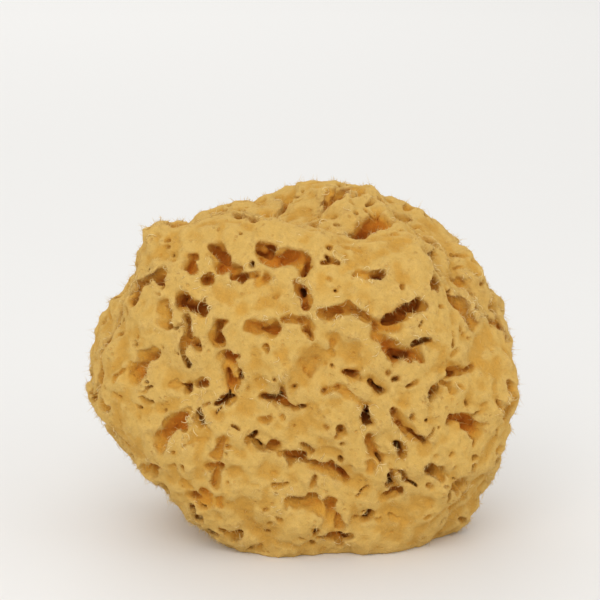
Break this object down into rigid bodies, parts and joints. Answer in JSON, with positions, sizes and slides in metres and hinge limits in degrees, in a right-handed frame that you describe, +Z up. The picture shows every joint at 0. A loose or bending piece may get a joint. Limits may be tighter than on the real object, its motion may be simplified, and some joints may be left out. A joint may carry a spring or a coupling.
{
  "type": "sea sponge",
  "caption": "Dry natural bath sponge: a rounded yellow block with lobes, ledges, furrows and pores all round, and a flat trimmed base that it stands on.",
  "frame": {"origin": "middle of the flat base's bounding box, on the surface that the sponge stands on", "axes": "+Z up; -Y out of the broad pressed face that the picture shows; +X to the viewer's right of that face"},
  "size_m": [0.1133, 0.0721, 0.092],
  "materials": {
    "dry_sponge": null
  },
  "bodies": {
    "root": {"sea_sponge": "dry_sponge"}
  },
  "joints": []
}
